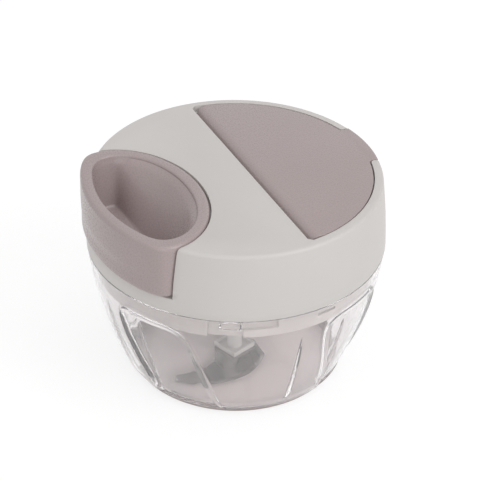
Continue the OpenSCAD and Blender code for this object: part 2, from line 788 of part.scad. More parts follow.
module cord_spool() {
    drum_r = drum_d / 2;
    color("white") difference() {
        union() {
            translate([0, 0, spool_z]) cylinder(d = spool_d, h = flange_t);
            translate([0, 0, spool_z]) cylinder(r = drum_r, h = spool_top - spool_z);
            translate([0, 0, spool_top - flange_t]) cylinder(d = spool_d, h = flange_t);
            translate([0, 0, hub_gap_z]) cylinder(d = arbor_d + 4, h = spool_z - hub_gap_z + eps);
        }
        translate([0, 0, spring_z - face_gap]) cylinder(r = drum_r - drum_wall, h = spool_top);
        translate([0, 0, hub_gap_z - 1]) cylinder(r = arbor_d / 2 + run_fit, h = spool_top);
    }
}

winding_n = round(cord_turns * 24);
winding = [for (i = [0 : winding_n])
    let (a = leave_a - 360 * cord_turns * i / winding_n)
    [winding_r * cos(a), winding_r * sin(a), leave_z + cord_pitch * (1 + cord_turns * i / winding_n)]];
gaps = [for (i = [0 : winding_n - 24]) norm(winding[i + 24] - winding[i]) - cord_d];
echo("least gap between turns of cord", min(gaps));

module cord_winding() { color("ivory") swept(winding, cord_d / 2, 6); }

// Level until it is clear of the turning winding, then up to the eyelet
module cord_lead() {
    start = [winding_r * cos(leave_a), winding_r * sin(leave_a), leave_z];
    end = [0, -eyelet_in_u, cord_z];
    clear_run = sqrt(pow(winding_r + cord_d + face_gap, 2) - pow(winding_r, 2)) + cord_d;
    bend = start + clear_run * unit([end[0] - start[0], end[1] - start[1], 0]);
    level = [for (s = steps(0, 1, 3)) start + s * (bend - start)];
    climb = [for (s = [0.32, 0.64, 0.95]) bend + s * (end - bend)];
    color("ivory") swept(concat(level, climb), cord_d / 2);
}

module power_spring() {
    r0 = arbor_d / 2 + 0.3 + spring_t / 2;
    r1 = drum_d / 2 - drum_wall - 0.1 - spring_t / 2;
    n = spring_turns * 20;
    function at(i, side) = (r0 + (r1 - r0) * i / n + side * spring_t / 2) * [cos(18 * i), sin(18 * i)];
    h = spool_top - spring_z - face_gap;
    color("dimgray") slab(spring_z, h) {
        polygon(concat([for (i = [0 : n]) at(i, 1)], [for (i = [n : -1 : 0]) at(i, -1)]));
        translate([arbor_d / 6, -spring_t / 2]) square([r0 - arbor_d / 6, spring_t]);
    }
}

module spring_cover() {
    color("white") tube(arbor_d / 2 + 0.4, drum_d / 2, spool_top, mech_top);
}

module pawl_ring() {
    z0 = cup_z + cup_floor + face_gap;
    r0 = arbor_d / 2 + 5;
    reach = cup_d / 2 - cup_wall - tooth_h - face_gap;
    mid = (r0 + reach) / 2;
    color("white") {
        tube(r0, r0 + 2, z0, spool_z);
        arm = [[r0 + 1, 0], [mid + 0.4, 14], [reach, 28], [reach, 33], [mid - 0.6, 24], [r0 + 0.5, 18]];
        for (a = [0, 120, 240]) rotate(a) slab(z0, spool_z - z0 - face_gap)
            polygon([for (q = arm) q[0] * [cos(q[1]), sin(q[1])]]);
    }
}

module ratchet_cup() {
    rim_in = cup_d / 2 - cup_wall;
    color("white") difference() {
        union() {
            translate([0, 0, cup_z]) cylinder(d = cup_d, h = cup_floor);
            difference() {
                translate([0, 0, cup_z]) cylinder(d = cup_d, h = cup_h - face_gap);
                slab(cup_z + cup_floor, cup_h) polygon([for (i = [0 : tooth_count - 1]) each [
                    (rim_in - tooth_h) * [cos(360 * i / tooth_count), sin(360 * i / tooth_count)],
                    rim_in * [cos(360 * (i + 0.9) / tooth_count), sin(360 * (i + 0.9) / tooth_count)]]]);
            }
        }
        translate([0, 0, cup_z - 1]) cylinder(d = shaft_d, h = cup_h + 2);
    }
}

module drive_shaft() {
    groove = clip_t + 0.1;
    color(steel) difference() {
        union() {
            translate([0, 0, shoulder_z]) cylinder(d = shaft_d, h = shaft_top - shoulder_z);
            rotate(tray_turn) translate([-tip_w / 2, -tip_w / 2, tip_z]) cube([tip_w, tip_w, tip_len + 1]);
        }
        tube(shaft_d / 2 - 0.8, shaft_d, clip_top - groove, clip_top);
        translate([0, 0, arbor_z - face_gap]) cylinder(r = arbor_d / 2 + run_fit, h = shaft_top);
    }
}

module shaft_clip() {
    r0 = shaft_d / 2 - 0.8;
    color("dimgray") difference() {
        tube(r0, shaft_d / 2 + 2.4, clip_top - clip_t, clip_top);
        translate([0, -r0 * 0.8, clip_top - 2 * clip_t]) cube([shaft_d, r0 * 1.6, 3 * clip_t]);
    }
}

// Handle and cord

module pull_handle() {
    b = bay_b - bay_gap;
    rim_u = bay_u - bay_a + bay_gap;
    pocket_r = front_r - front_wall;
    knot_room = knot_r + knot_gap;
    color(taupe) difference() {
        stacked([
            cut_ring(handle_z, foot_u, bay_u, b, front_r, 0.5),
            cut_ring(handle_z + 0.5, foot_u, bay_u, b, front_r),
            cut_ring(block_z, foot_u, bay_u, b, front_r),
            cut_ring(neck_z - 0.6, neck_u, bay_u, b, front_r),
            cut_ring(neck_z, rim_u, bay_u, b, front_r),
            cut_ring(rim_top - rim_round, rim_u, bay_u, b, front_r),
            cut_ring(rim_top - rim_round * 0.3, rim_u, bay_u, b, front_r, rim_round * 0.3),
            cut_ring(rim_top, rim_u, bay_u, b, front_r, rim_round)]);
        stacked([
            cut_ring(pocket_z, pocket_u, pocket_u + pocket_a, pocket_floor_b, pocket_r, 0, pocket_floor_u),
            cut_ring(rim_top, pocket_u, pocket_u + pocket_a, pocket_b, pocket_r),
            cut_ring(rim_top + 1, pocket_u - 0.5, pocket_u + pocket_a, pocket_b, pocket_r)]);
        translate([0, -foot_u + 1, cord_z]) rotate([90, 0, 0]) cylinder(d = cord_d + 0.8, h = knot_seat_u - foot_u + 2);
        translate([0, -knot_seat_u, cord_z]) rotate([90, 0, 0]) cylinder(r = knot_room, h = 2 * knot_room);
        translate([-knot_room, -knot_seat_u - 2 * knot_room, handle_z - 1])
            cube([2 * knot_room, 2 * knot_room, cord_z - handle_z + 1]);
    }
}

module pull_cord() {
    color("ivory") translate([0, -eyelet_in_u, cord_z]) rotate([90, 0, 0])
        cylinder(d = cord_d, h = knot_seat_u - eyelet_in_u + 0.1);
}

module cord_knot() {
    color("ivory") difference() {
        translate([0, -knot_seat_u - knot_r - 0.05, cord_z]) sphere(r = knot_r, $fn = 32);
        pull_cord();
    }
}

bowl();
base_ring();
spindle_pin();
blade_hub();
lower_blade();
upper_blade();
lid_gasket();
lid_shell();
lid_base();
lid_screws();
shaft_bush();
spring_arbor();
cord_eyelet();
flap_hinge_pin();
cord_lead();
fill_flap();
cord_spool();
cord_winding();
power_spring();
spring_cover();
pawl_ring();
drive_shaft();
ratchet_cup();
shaft_clip();
pull_handle();
pull_cord();
cord_knot();
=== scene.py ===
import json
import math

import bmesh
import bpy
import numpy as np
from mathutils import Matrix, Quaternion, Vector


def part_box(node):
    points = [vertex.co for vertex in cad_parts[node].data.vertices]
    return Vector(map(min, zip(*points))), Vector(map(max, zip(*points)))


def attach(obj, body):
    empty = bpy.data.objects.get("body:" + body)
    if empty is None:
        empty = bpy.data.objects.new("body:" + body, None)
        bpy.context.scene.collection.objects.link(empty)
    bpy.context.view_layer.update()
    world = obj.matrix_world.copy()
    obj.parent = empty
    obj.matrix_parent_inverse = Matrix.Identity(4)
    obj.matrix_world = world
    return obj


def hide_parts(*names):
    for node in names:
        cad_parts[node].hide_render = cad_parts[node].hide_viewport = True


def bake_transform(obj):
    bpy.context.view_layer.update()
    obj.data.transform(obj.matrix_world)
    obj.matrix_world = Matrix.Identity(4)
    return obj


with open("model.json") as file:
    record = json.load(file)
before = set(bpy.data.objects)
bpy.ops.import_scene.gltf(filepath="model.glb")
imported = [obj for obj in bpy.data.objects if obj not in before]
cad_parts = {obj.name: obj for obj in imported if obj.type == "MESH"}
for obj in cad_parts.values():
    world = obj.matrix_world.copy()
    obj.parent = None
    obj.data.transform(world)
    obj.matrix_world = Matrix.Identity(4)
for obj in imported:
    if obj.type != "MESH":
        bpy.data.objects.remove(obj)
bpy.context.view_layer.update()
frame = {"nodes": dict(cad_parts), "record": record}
nodes = frame["nodes"]
print("frame loaded with", len(nodes), "nodes")


# camera at the photograph's viewing angle
photoCamera = {
    "azimuth": 64.0,
    "elevation": 34.37,
    "roll": 0.93,
    "distance": 1.2,
    "target": (0, 0, 0.047),
    "imagePx": 480,
    "focalPx": 2739.5,
    "centrePx": (235.55, 265.05),
    "sensor": 36.0,
}


def addCamera(c):
    az, el = math.radians(c["azimuth"]), math.radians(c["elevation"])
    away = Vector((math.cos(el) * math.sin(az), -math.cos(el) * math.cos(az), math.sin(el)))
    lens = bpy.data.cameras.new("photoCamera")
    lens.sensor_width = c["sensor"]
    lens.lens = c["focalPx"] / c["imagePx"] * c["sensor"]
    lens.shift_x = 0.5 - c["centrePx"][0] / c["imagePx"]
    lens.shift_y = c["centrePx"][1] / c["imagePx"] - 0.5
    camera = bpy.data.objects.new("photoCamera", lens)
    bpy.context.scene.collection.objects.link(camera)
    camera.location = Vector(c["target"]) + away * c["distance"]
    turn = (-away).to_track_quat("-Z", "Y") @ Quaternion((0, 0, 1), math.radians(c["roll"]))
    camera.rotation_euler = turn.to_euler()
    bpy.context.scene.camera = camera


addCamera(photoCamera)
print("camera placed")


# small modelling helpers

# points closer than the gap become one, and so do faces that bend less than the angle, in degrees
mergeGap, flatAngle = 2e-6, 0.2


def freshStart():
    if bpy.context.mode != "OBJECT":
        bpy.ops.object.mode_set(mode="OBJECT")
    bpy.ops.object.select_all(action="DESELECT")


def pick(piece):
    freshStart()
    piece.select_set(True)
    bpy.context.view_layer.objects.active = piece


def arc(cx, cy, r, a0, a1, n):
    turns = [math.radians(a0 + (a1 - a0) * i / n) for i in range(n + 1)]
    return [(cx + r * math.cos(a), cy + r * math.sin(a)) for a in turns]


def spread(a, b, n):
    return [a + (b - a) * i / n for i in range(n + 1)]


def tidyNormals():
    bpy.ops.mesh.select_all(action="SELECT")
    bpy.ops.mesh.remove_doubles(threshold=mergeGap)
    bpy.ops.mesh.normals_make_consistent(inside=False)
    bpy.ops.object.mode_set(mode="OBJECT")


# draws a line point by point and leaves it selected in edit mode
def drawLine(name, points):
    freshStart()
    bpy.ops.mesh.primitive_plane_add(size=0.001)
    piece = bpy.context.object
    piece.name = name
    bpy.ops.object.mode_set(mode="EDIT")
    bpy.ops.mesh.select_all(action="SELECT")
    bpy.ops.mesh.merge(type="CENTER")
    bpy.ops.transform.translate(value=points[0])
    for a, b in zip(points, points[1:]):
        bpy.ops.mesh.extrude_vertices_move(TRANSFORM_OT_translate={"value": [q - p for p, q in zip(a, b)]})
    bpy.ops.mesh.select_all(action="SELECT")
    return piece


# spins a half section (radius, height) round the axis
def spinPiece(name, section, sides):
    piece = drawLine(name, [(r, 0, z) for r, z in section])
    bpy.ops.mesh.spin(steps=sides, angle=2 * math.pi, center=(0, 0, 0), axis=(0, 0, 1))
    tidyNormals()
    return piece


def smooth(piece, angle):
    pick(piece)
    bpy.ops.object.shade_smooth_by_angle(angle=math.radians(angle))


def addModifier(piece, kind, **settings):
    pick(piece)
    modifier = piece.modifiers.new(kind.lower(), kind)
    for key, value in settings.items():
        setattr(modifier, key, value)
    bpy.ops.object.modifier_apply(modifier=modifier.name)


# a merged copy of a CAD node's mesh, to be rounded and to stand for that node
def copyOf(node, name):
    freshStart()
    piece = bpy.data.objects.new(name, nodes[node].data.copy())
    bpy.context.scene.collection.objects.link(piece)
    pick(piece)
    bpy.ops.object.mode_set(mode="EDIT")
    bpy.ops.mesh.select_all(action="SELECT")
    bpy.ops.mesh.remove_doubles(threshold=mergeGap)
    bpy.ops.mesh.dissolve_limited(angle_limit=math.radians(flatAngle))
    bpy.ops.object.mode_set(mode="OBJECT")
    return piece


def finishPiece(piece, body, slot, finish, *replaced):
    piece.data.materials.clear()
    piece.data.materials.append(finish)
    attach(piece, body)
    if replaced:
        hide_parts(*replaced)


# finishes

# the part of a noise's range that a change of tone or gloss is spread over
noiseSpan = (0.3, 0.7)


def newFinish(name):
    finish = bpy.data.materials.new(name)
    finish.use_nodes = True
    return finish, finish.node_tree.nodes, finish.node_tree.links


def noiseOn(tree, links, scale, detail=2.0, stretch=(1, 1, 1)):
    place = tree.new("ShaderNodeTexCoord")
    mapping = tree.new("ShaderNodeMapping")
    mapping.inputs["Scale"].default_value = stretch
    noise = tree.new("ShaderNodeTexNoise")
    noise.inputs["Scale"].default_value = scale
    noise.inputs["Detail"].default_value = detail
    links.new(place.outputs["Object"], mapping.inputs["Vector"])
    links.new(mapping.outputs["Vector"], noise.inputs["Vector"])
    return noise


def ramp(tree, links, source, low, high, span=noiseSpan):
    mix = tree.new("ShaderNodeValToRGB")
    mix.color_ramp.elements[0].position = span[0]
    mix.color_ramp.elements[0].color = (*low, 1)
    mix.color_ramp.elements[1].position = span[1]
    mix.color_ramp.elements[1].color = (*high, 1)
    links.new(source, mix.inputs["Fac"])
    return mix.outputs["Color"]


def between(tree, links, source, low, high):
    scale = tree.new("ShaderNodeMapRange")
    scale.inputs["From Min"].default_value = noiseSpan[0]
    scale.inputs["From Max"].default_value = noiseSpan[1]
    scale.inputs["To Min"].default_value = low
    scale.inputs["To Max"].default_value = high
    links.new(source, scale.inputs["Value"])
    return scale.outputs["Result"]


def relief(tree, links, source, strength, depth):
    bump = tree.new("ShaderNodeBump")
    bump.inputs["Strength"].default_value = strength
    bump.inputs["Distance"].default_value = depth
    links.new(source, bump.inputs["Height"])
    return bump.outputs["Normal"]


def paler(colour, share):
    return tuple(min(1.0, c * (1 + share)) for c in colour)


# moulded plastic: slow change of tone, fine grain in gloss and surface
def mouldedPlastic(name, p):
    slowDetail, fineDetail, plasticIor = 3.0, 4.0, 1.49
    finish, tree, links = newFinish(name)
    shader = tree["Principled BSDF"]
    slow = noiseOn(tree, links, p["toneScale"], slowDetail)
    fine = noiseOn(tree, links, p["grainScale"], fineDetail)
    dark, pale = paler(p["colour"], -p["toneShare"]), paler(p["colour"], p["toneShare"])
    tone = ramp(tree, links, slow.outputs["Fac"], dark, pale)
    links.new(tone, shader.inputs["Base Color"])
    links.new(between(tree, links, fine.outputs["Fac"], *p["roughness"]), shader.inputs["Roughness"])
    links.new(relief(tree, links, fine.outputs["Fac"], p["bump"], p["bumpDepth"]), shader.inputs["Normal"])
    shader.inputs["IOR"].default_value = plasticIor
    shader.inputs["Specular IOR Level"].default_value = p["specular"]
    return finish


# thin translucent middle, painted paler than the rim: painted light that stands in for the table's light
# showing through it and for the light the lid keeps from the bowl's inside
def paintedLightMiddle(finish, p):
    tree, links = finish.node_tree.nodes, finish.node_tree.links
    shader = tree["Principled BSDF"]
    rimTone = shader.inputs["Base Color"].links[0].from_socket
    place = tree.new("ShaderNodeTexCoord")
    flat = tree.new("ShaderNodeMapping")
    flat.inputs["Scale"].default_value = (1, 1, 0)
    reach = tree.new("ShaderNodeVectorMath")
    reach.operation = "LENGTH"
    outwards = tree.new("ShaderNodeMapRange")
    outwards.inputs["From Min"].default_value = p["inner"]
    outwards.inputs["From Max"].default_value = p["outer"]
    mix = tree.new("ShaderNodeMix")
    mix.data_type = "RGBA"
    colourIn = [q for q in mix.inputs if q.type == "RGBA"]
    colourOut = [q for q in mix.outputs if q.type == "RGBA"]
    colourIn[0].default_value = (*p["colour"], 1)
    links.new(place.outputs["Object"], flat.inputs["Vector"])
    links.new(flat.outputs["Vector"], reach.inputs[0])
    links.new(reach.outputs["Value"], outwards.inputs["Value"])
    links.new(outwards.outputs["Result"], mix.inputs["Factor"])
    links.new(rimTone, colourIn[1])
    links.new(colourOut[0], shader.inputs["Base Color"])
    return finish


# clear moulding: glass for the eye, open to the lamps
def clearPlastic(name, p):
    finish, tree, links = newFinish(name)
    shader = tree["Principled BSDF"]
    flow = noiseOn(tree, links, p["flowScale"])
    shader.inputs["Base Color"].default_value = (*p["colour"], 1)
    shader.inputs["Transmission Weight"].default_value = p["clear"]
    shader.inputs["IOR"].default_value = p["ior"]
    links.new(between(tree, links, flow.outputs["Fac"], *p["roughness"]), shader.inputs["Roughness"])
    links.new(relief(tree, links, flow.outputs["Fac"], p["bump"], p["bumpDepth"]), shader.inputs["Normal"])
    through = tree.new("ShaderNodeBsdfTransparent")
    through.inputs["Color"].default_value = (*p["shadowColour"], 1)
    path = tree.new("ShaderNodeLightPath")
    mix = tree.new("ShaderNodeMixShader")
    links.new(path.outputs["Is Shadow Ray"], mix.inputs["Fac"])
    links.new(shader.outputs["BSDF"], mix.inputs[1])
    links.new(through.outputs["BSDF"], mix.inputs[2])
    links.new(mix.outputs["Shader"], tree["Material Output"].inputs["Surface"])
    return finish


# steel: brushed or turned lines in gloss and surface
def lineSteel(name, p):
    lineDetail, toneShare, lineDepth = 3.0, 0.12, 0.00005
    finish, tree, links = newFinish(name)
    shader = tree["Principled BSDF"]
    lines = noiseOn(tree, links, p["lineScale"], lineDetail, p["stretch"])
    dark, pale = paler(p["colour"], -toneShare), paler(p["colour"], toneShare)
    tone = ramp(tree, links, lines.outputs["Fac"], dark, pale)
    links.new(tone, shader.inputs["Base Color"])
    shader.inputs["Metallic"].default_value = 1.0
    links.new(between(tree, links, lines.outputs["Fac"], *p["roughness"]), shader.inputs["Roughness"])
    links.new(relief(tree, links, lines.outputs["Fac"], p["bump"], lineDepth), shader.inputs["Normal"])
    return finish


# braided cord: a fine pattern of raised cells for its strands
def braidedCord(name, p):
    finish, tree, links = newFinish(name)
    shader = tree["Principled BSDF"]
    place = tree.new("ShaderNodeTexCoord")
    strands = tree.new("ShaderNodeTexVoronoi")
    strands.inputs["Scale"].default_value = p["strandScale"]
    links.new(place.outputs["Object"], strands.inputs["Vector"])
    tone = ramp(tree, links, strands.outputs["Distance"], p["colour"], p["seam"], p["span"])
    links.new(tone, shader.inputs["Base Color"])
    bump = relief(tree, links, strands.outputs["Distance"], p["bump"], p["bumpDepth"])
    links.new(bump, shader.inputs["Normal"])
    shader.inputs["Roughness"].default_value = p["roughness"]
    shader.inputs["Sheen Weight"].default_value = p["sheen"]
    return finish


greyPlastic = mouldedPlastic("greyPlastic", {
    "colour": (0.640, 0.612, 0.592), "toneShare": 0.012, "toneScale": 28, "grainScale": 1800,
    "roughness": (0.36, 0.44), "bump": 0.12, "bumpDepth": 0.00003, "specular": 0.5})
taupePlastic = mouldedPlastic("taupePlastic", {
    "colour": (0.405, 0.333, 0.330), "toneShare": 0.02, "toneScale": 30, "grainScale": 1600,
    "roughness": (0.24, 0.32), "bump": 0.03, "bumpDepth": 0.00003, "specular": 0.5})
# painted light: the pad's middle gets a paler colour (0.93, 0.875, 0.855) in place of the light that reaches
# it through the bowl, its rim keeps the taupe
taupeRubber = paintedLightMiddle(mouldedPlastic("taupeRubber", {
    "colour": (0.42, 0.35, 0.345), "toneShare": 0.03, "toneScale": 60, "grainScale": 1400,
    "roughness": (0.55, 0.68), "bump": 0.25, "bumpDepth": 0.00004, "specular": 0.4}),
    {"colour": (0.93, 0.875, 0.855), "inner": 0.036, "outer": 0.0445})
greySilicone = mouldedPlastic("greySilicone", {
    "colour": (0.60, 0.57, 0.55), "toneShare": 0.02, "toneScale": 60, "grainScale": 1400,
    "roughness": (0.55, 0.65), "bump": 0.2, "bumpDepth": 0.00003, "specular": 0.4})
hubPlastic = mouldedPlastic("hubPlastic", {
    "colour": (0.66, 0.655, 0.635), "toneShare": 0.015, "toneScale": 80, "grainScale": 1600,
    "roughness": (0.30, 0.40), "bump": 0.1, "bumpDepth": 0.00003, "specular": 0.5})
whitePlastic = mouldedPlastic("whitePlastic", {
    "colour": (0.80, 0.80, 0.78), "toneShare": 0.015, "toneScale": 60, "grainScale": 1600,
    "roughness": (0.38, 0.48), "bump": 0.1, "bumpDepth": 0.00003, "specular": 0.5})
clearBowl = clearPlastic("clearPlastic", {
    "colour": (0.97, 0.945, 0.95), "clear": 0.92, "shadowColour": (0.985, 0.975, 0.975), "ior": 1.40,
    "flowScale": 60, "roughness": (0.015, 0.035), "bump": 0.05, "bumpDepth": 0.0002})
bladeSteel = lineSteel("bladeSteel", {
    "colour": (0.36, 0.355, 0.345), "lineScale": 900, "stretch": (0.12, 1, 1),
    "roughness": (0.16, 0.28), "bump": 0.08})
springSteel = lineSteel("springSteel", {
    "colour": (0.30, 0.30, 0.32), "lineScale": 700, "stretch": (1, 1, 0.1),
    "roughness": (0.25, 0.4), "bump": 0.15})
polishedSteel = lineSteel("polishedSteel", {
    "colour": (0.62, 0.62, 0.61), "lineScale": 900, "stretch": (0.2, 0.2, 1),
    "roughness": (0.14, 0.26), "bump": 0.1})
cordFibre = braidedCord("cordFibre", {
    "colour": (0.78, 0.76, 0.71), "seam": (0.52, 0.50, 0.46), "strandScale": 2200, "span": (0.2, 0.75),
    "bump": -0.6, "bumpDepth": 0.0002, "roughness": 0.8, "sheen": 0.25})

slotFinish = {
    "clear_plastic": clearBowl, "taupe_rubber": taupeRubber, "taupe_plastic": taupePlastic,
    "grey_plastic": greyPlastic, "grey_silicone": greySilicone, "hub_plastic": hubPlastic,
    "white_plastic": whitePlastic, "blade_steel": bladeSteel, "spring_steel": springSteel,
    "polished_steel": polishedSteel, "cord": cordFibre,
}
for row in frame["record"]["subparts"]:
    nodes[row["node"]].data.materials.clear()
    nodes[row["node"]].data.materials.append(slotFinish[row["material_slot"]])
print("finishes made:", len(slotFinish))


# sizes that several pieces share, read from the frame
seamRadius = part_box("lid_shell")[1].x
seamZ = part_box("lid_shell")[0].z
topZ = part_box("lid_shell")[1].z


# clear bowl with arched panels, mixing fins and bayonet lugs
bowlShape = {
    "baseRadius": 0.0462, "bulge": 0.00275, "tuck": 0.0022, "tuckHeight": 0.010,
    "wall": 0.002, "floor": 0.0013, "floorRows": 5,
    "fillet": 0.006, "filletAngles": (-8, -90), "filletSteps": 10,
    "footWall": 0.0016, "footHeight": 0.0036, "bossRadius": 0.0045, "bossHeight": 0.0006,
    "rimRound": 0.0005, "rimDrop": 0.0008, "rimAngles": (20, 170), "rimSteps": 4, "smooth": 50,
    "sides": 340, "outerRows": 72, "innerRows": 44, "edgeZone": 0.0026, "edgeCuts": 2,
    "outerBand": 0.0005, "wallFit": 0.0002, "hair": 1e-5,
    "panelCount": 4, "panelTurn": -56.7, "panelDepth": 0.0005, "panelStep": 0.0006, "panelHalf": 0.0173,
    "panelTop": 0.0532, "panelShoulder": 0.0372, "panelFoot": 0.0046, "panelFootShare": 0.8,
    "panelLean": 0.0115, "panelEdge": 0.0022, "panelInnerEdge": 0.006, "panelPower": 4.4, "panelFront": 0.3,
    "panelBead": 0.00048, "beadWidth": 0.0006, "beadPlace": 0.001,
    "finTurns": (2, -67), "finDepth": 0.0024, "finWidth": 0.0016, "finTop": 0.048, "finTipShare": 0.4,
    "finPower": 0.7,
    "lugCount": 3, "lugTurn": -27.6, "lugHalfAngle": 4.0, "lugMargin": 1.5, "lugLow": 0.0566,
    "lugHigh": 0.0608, "lugReach": 0.0018, "lugEdge": 0.0008, "lugRound": 0.0016,
}


def footTuck(z):
    return bowlShape["tuck"] * max(0.0, 1 - z / bowlShape["tuckHeight"]) ** 2


def bowlRadius(z):
    b = bowlShape
    s = z / seamZ
    return b["baseRadius"] + (seamRadius - b["baseRadius"]) * s + 4 * b["bulge"] * s * (1 - s) - footTuck(z)


def ease(t):
    t = np.clip(t, 0, 1)
    return t * t * (3 - 2 * t)


# how far a point of the wall lies inside a panel's outline, in metres
def panelInside(side, z):
    b = bowlShape
    half, top, shoulder, foot = b["panelHalf"], b["panelTop"], b["panelShoulder"], b["panelFoot"]
    n = b["panelPower"]

    def level(s, h):
        lean = b["panelLean"] * (0.5 - (h - foot) / (top - foot))
        up = np.maximum(h - shoulder, 0) / (top - shoulder)
        share = b["panelFootShare"]
        wide = half * (share + (1 - share) * np.clip((h - foot) / (shoulder - foot), 0, 1))
        return 1 - ((np.abs(s - lean) / wide) ** n + up ** n) ** (1 / n)

    step = b["hair"]
    here = level(side, z)
    slope = np.hypot(level(side + step, z) - here, level(side, z + step) - here) / step
    return np.minimum(here / np.maximum(slope, 1e-3), z - foot)


# angle from the middle of a lug
def lugAngle(turn, i):
    a = turn - math.radians(bowlShape["lugTurn"]) - 2 * math.pi * i / bowlShape["lugCount"]
    return np.mod(a + math.pi, 2 * math.pi) - math.pi


# smaller faces along the panels' outlines, the fins and the lugs
def finerEdges(bowl, floorZ):
    b = bowlShape
    pick(bowl)
    bpy.ops.object.mode_set(mode="EDIT")
    bpy.ops.mesh.select_all(action="DESELECT")
    bpy.ops.mesh.select_mode(type="FACE")
    work = bmesh.from_edit_mesh(bowl.data)
    spots = np.array([f.calc_center_median() for f in work.faces])
    turn, z = np.arctan2(spots[:, 1], spots[:, 0]), spots[:, 2]
    wallRadius = np.array([bowlRadius(h) for h in z])
    onOuter = np.hypot(spots[:, 0], spots[:, 1]) > wallRadius - b["outerBand"]
    onWall = (z > floorZ + b["fillet"]) & ~onOuter
    near = np.zeros(len(spots), dtype=bool)
    for i in range(b["panelCount"]):
        pitch = 2 * math.pi * i / b["panelCount"]
        a = turn - math.radians(b["panelTurn"]) - pitch
        inside = panelInside(wallRadius * np.sin(a), z)
        front = np.cos(a) > b["panelFront"]
        near |= onOuter & front & (np.abs(inside) < b["edgeZone"]) & (z > b["panelFoot"])
        for finTurn in b["finTurns"]:
            a = turn - math.radians(finTurn) - pitch
            off = np.abs(wallRadius * np.sin(a))
            near |= onWall & (np.cos(a) > 0) & (off < b["finWidth"]) & (z < b["finTop"])
    nearLug = onWall & (z > b["lugLow"] - b["lugRound"]) & (z < b["lugHigh"] + b["lugRound"])
    for i in range(b["lugCount"]):
        near |= nearLug & (np.abs(lugAngle(turn, i)) < math.radians(b["lugHalfAngle"] + b["lugMargin"]))
    for face, chosen in zip(work.faces, near):
        face.select_set(bool(chosen))
    bmesh.update_edit_mesh(bowl.data)
    bpy.ops.mesh.subdivide(number_cuts=b["edgeCuts"], ngon=False)
    bpy.ops.mesh.select_mode(type="VERT")
    bpy.ops.object.mode_set(mode="OBJECT")


